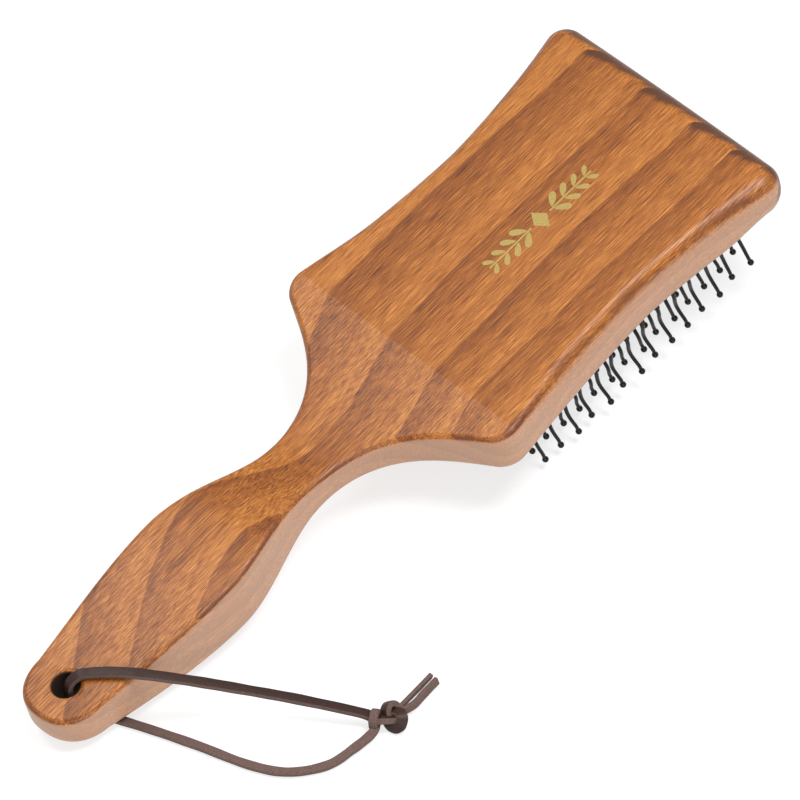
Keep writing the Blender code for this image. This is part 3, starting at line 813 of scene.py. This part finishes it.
def cushion(look):
    """A domed skin with a raised collar round each pin, and a skirt that stands in the pocket."""
    shape = bmesh.new()
    floor = -THICKNESS + POCKET_DEPTH - GAP
    rings = [add_ring(shape, [(x, y, floor) for x, y in cushion_ring(1, 0, CORNER_STEPS)])]
    for share in [1, 0.985, 0.96, 0.93, 0.88, 0.82, 0.74, 0.64, 0.52, 0.38, 0.22, 0.06]:
        points = cushion_ring(share, 0, CORNER_STEPS)
        rings.append(add_ring(shape, [(x, y, -THICKNESS - dome_height(x, y)) for x, y in points]))
    for lower, upper in zip(rings, rings[1:]):
        bridge(shape, lower, upper)
    shape.faces.new(rings[-1])
    for row in range(ROWS):
        for y in row_places():
            pin_collar(shape, row_x(row), y)
    made = object_from("cushion_skin", shape, look)
    made.matrix_world = BRUSH
    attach(made, BODY)
    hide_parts("rubber_cushion")
    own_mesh(made)
    return made


def pin_collar(shape, x, y):
    """The low rubber collar that a pin stands in."""
    foot = -THICKNESS - dome_height(x, y)
    rings = []
    turns = [2 * math.pi * i / 12 for i in range(12)]
    for size, height in ((1.25, -0.5), (1.15, 0.25), (0.85, 0.45), (0.45, 0.40)):
        reach, level = size * MM, foot - height * MM
        spots = [(x + reach * math.cos(t), y + reach * math.sin(t), level) for t in turns]
        rings.append(add_ring(shape, spots))
    for lower, upper in zip(rings, rings[1:]):
        bridge(shape, lower, upper)
    shape.faces.new(rings[-1])


def tube(shape, path, radii, sides):
    """A round tube along a path, closed at both ends."""
    rings = []
    side = Vector((1, 0, 0))
    count = len(path)
    turns = [2 * math.pi * k / sides for k in range(sides)]
    for i, (point, radius) in enumerate(zip(path, radii)):
        along = (path[min(i + 1, count - 1)] - path[max(i - 1, 0)]).normalized()
        side = (side - along * side.dot(along)).normalized()
        other = along.cross(side)
        spokes = [side * math.cos(t) + other * math.sin(t) for t in turns]
        rings.append(add_ring(shape, [point + spoke * radius for spoke in spokes]))
    for lower, upper in zip(rings, rings[1:]):
        bridge(shape, lower, upper)
    shape.faces.new(rings[0])
    shape.faces.new(rings[-1])


def pin_rows(look):
    """Each row of fine wavy pins, every pin waving its own way, with a small ball at its tip."""
    for row in range(ROWS):
        shape = bmesh.new()
        x = row_x(row)
        for number, y in enumerate(row_places()):
            turn = PIN_TURN * (row * PINS_IN_ROW + number)
            splay = math.tan(PIN_SPLAY) * y / (HALF * CUSHION_WIDTH)
            way = Vector((0, splay + PIN_UNEVENNESS * math.sin(PIN_TURN_RATIO * turn), -1)).normalized()
            wave = Vector((0.2 * math.cos(turn), math.sin(turn), 0)) * PIN_WAVE
            foot = Vector((x, y, -THICKNESS - dome_height(x, y)))
            path, radii = [], []
            neck = 1 - BALL_LENGTH / PIN_LENGTH
            for i in range(25):
                share = -PIN_SHARE_IN_CUSHION + (neck + PIN_SHARE_IN_CUSHION) * i / 24
                fade = 1 - max(share - 0.9 * neck, 0) / (0.1 * neck)
                swing = math.sin(2 * math.pi * PIN_WAVES * max(share, 0) / neck) * fade
                path.append(foot + way * PIN_LENGTH * share + wave * swing)
                radii.append((0.62 - 0.10 * share) * MM)
            middle = PIN_LENGTH - HALF * BALL_LENGTH
            for i in range(1, 9):
                angle = math.pi * i / 8
                path.append(foot + way * (middle - HALF * BALL_LENGTH * math.cos(angle)))
                least = 0.50 * MM if i < 3 else 0.06 * MM
                radii.append(max(HALF * BALL_LENGTH * math.sin(angle), least))
            tube(shape, path, radii, PIN_SIDES)
        made = object_from(f"pins_row_{row + 1:02d}", shape, look)
        made.matrix_world = BRUSH
        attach(made, PIN_BED)
        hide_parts(f"pin_row_{row + 1:02d}")


# ---------------------------------------------------------------- lace


def lay_lace(shape, path, side, twist=0.0, size=1.0):
    """A flat lace along a path. Its width starts out along "side", and it turns by "twist" on its way."""
    a, b, c = HALF * LACE_WIDTH * size, HALF * LACE_THICKNESS * size, 0.25 * MM
    section = (
        (a, c - b, 1),
        (a, b - c, 1),
        (a - c, b, 0),
        (0.3 * a, 1.06 * b, 0),
        (-0.3 * a, 1.06 * b, 0),
        (c - a, b, 0),
        (-a, b - c, 1),
        (-a, c - b, 1),
        (c - a, -b, 1),
        (0, -b, 1),
        (a - c, -b, 1),
    )
    cut = shape.verts.layers.float["cut"]
    side = Vector(side)
    rings = []
    count = len(path)
    for i, point in enumerate(path):
        along = (path[min(i + 1, count - 1)] - path[max(i - 1, 0)]).normalized()
        side = (side - along * side.dot(along)).normalized()
        turned = Matrix.Rotation(twist * ease(i / count), 3, along) @ side
        face = along.cross(turned)
        wobble = 1 + 0.05 * math.sin(0.9 * i) * math.sin(0.37 * i)
        ring = add_ring(shape, [point + (turned * u * wobble + face * v) for u, v, _ in section])
        for vertex, (_, _, raw) in zip(ring, section):
            vertex[cut] = raw
        rings.append(ring)
    for lower, upper in zip(rings, rings[1:]):
        bridge(shape, lower, upper)
    shape.faces.new(rings[0])
    shape.faces.new(rings[-1])


def lace_object(name, look, lengths):
    """One piece of the lace, from the lengths (path, side, twist, size) that it is made of."""
    shape = bmesh.new()
    shape.verts.layers.float.new("cut")
    for path, side, twist, size in lengths:
        lay_lace(shape, path, side, twist, size)
    made = object_from(name, shape, look)
    made.data.set_sharp_from_angle(angle=LACE_SHARP_ANGLE)
    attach(made, BODY)
    return made


def knot_lengths():
    """A tight trefoil, and a collar round the two strands where they enter it."""
    loop = []
    for i in range(97):
        t = 2 * math.pi * i / 96
        x, y = math.sin(t) + 2 * math.sin(2 * t), math.cos(t) - 2 * math.cos(2 * t)
        loop.append(Vector(THONG_KNOT) + KNOT_SPREAD * Vector((x, y, -math.sin(3 * t))))
    way = Vector(COLLAR_WAY).normalized()
    across = Vector((0, 0, 1)).cross(way)
    up = Vector((0, 0, 1))
    band = []
    for i in range(33):
        t = 2 * math.pi * i / 32
        spoke = across * math.cos(t) * COLLAR_REACH + up * math.sin(t) * COLLAR_HEIGHT
        band.append(Vector(COLLAR) + spoke)
    return [(loop, (1, 0, 0), 0, KNOT_SIZE), (band, -way, 0, COLLAR_SIZE)]


def thong(look):
    """The doubled lace: two strands from the hole to the knot, the knot and two tails."""
    knot = Vector(THONG_KNOT)
    upper_path = smooth_path([*THONG_UPPER, COLLAR, knot], 8)
    lower_path = smooth_path([*THONG_LOWER, COLLAR], 8)
    upper = lace_object("lace_upper", look, [(upper_path, (0.3, 1, 0), -0.35, 1)])
    lower = lace_object("lace_lower", look, [(lower_path, (-0.8, -0.6, 0), 0.2, LOWER_SIZE)])
    tied = lace_object("lace_knot", look, knot_lengths())
    path_a = smooth_path([knot, *THONG_TAIL_A], 6)
    path_b = smooth_path([knot, *THONG_TAIL_B], 6)
    tail_a = lace_object("lace_tail_a", look, [(path_a, (0, -0.35, 1), 0, TAIL_SIZE)])
    tail_b = lace_object("lace_tail_b", look, [(path_b, (0, -0.35, -1), 0, TAIL_SIZE)])
    pieces = (upper, lower, tied, tail_a, tail_b)
    nodes = ("thong_upper", "thong_lower", "thong_knot", "thong_tail_a", "thong_tail_b")
    for piece, node in zip(pieces, nodes):
        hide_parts(node)


# ---------------------------------------------------------------- foil ornament


def ornament(look):
    """A sprig in gold foil: stems with pairs of leaves, and a lozenge between them."""
    shape = bmesh.new()
    middle = BACK_X

    def outline(points):
        """A flat shape with this outline, a hair proud of the back."""
        low = add_ring(shape, [(x, y, -FOIL_LIFT) for x, y in points])
        high = add_ring(shape, [(x, y, FOIL_LIFT) for x, y in points])
        bridge(shape, low, high)
        shape.faces.new(low)
        shape.faces.new(high)

    def leaf(x, y, turn, size):
        """A pointed leaf from its foot outwards."""
        points = []
        along, across = math.cos(turn), math.sin(turn)
        for i in range(16):
            t = 2 * math.pi * i / 16
            u = HALF * (1 - math.cos(t)) * size
            v = 0.20 * size * math.sin(t) * (1 - 0.35 * math.cos(t))
            points.append((x + u * along - v * across, y + u * across + v * along))
        outline(points)

    for side in (-1, 1):
        start, end = middle + side * STEM_START, middle + side * STEM_END
        thin = STEM_HALF_WIDTH
        outline([(start, -thin), (end, -thin), (end, thin), (start, thin)])
        for k in range(4):
            x = middle + side * (FIRST_LEAF + LEAF_PITCH * k)
            for up in (-1, 1):
                turn = math.atan2(up * 0.9, side)
                leaf(x, up * LEAF_OFFSET, turn, LEAF_LENGTH - LEAF_SHRINK * k)
    wide, tall = LOZENGE
    outline([(middle - wide, 0), (middle, -tall), (middle + wide, 0), (middle, tall)])
    made = object_from("foil_ornament", shape, look, smooth=False)
    made.matrix_world = BRUSH
    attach(made, BODY)
    return made


def main():
    """Builds the scene."""
    camera()
    studio()
    wooden_body(wood_material())
    cushion(rubber_material())
    pin_rows(nylon_material())
    thong(leather_material("lace_leather", LACE_FACE, LACE_CUT))
    ornament(foil_material())


main()
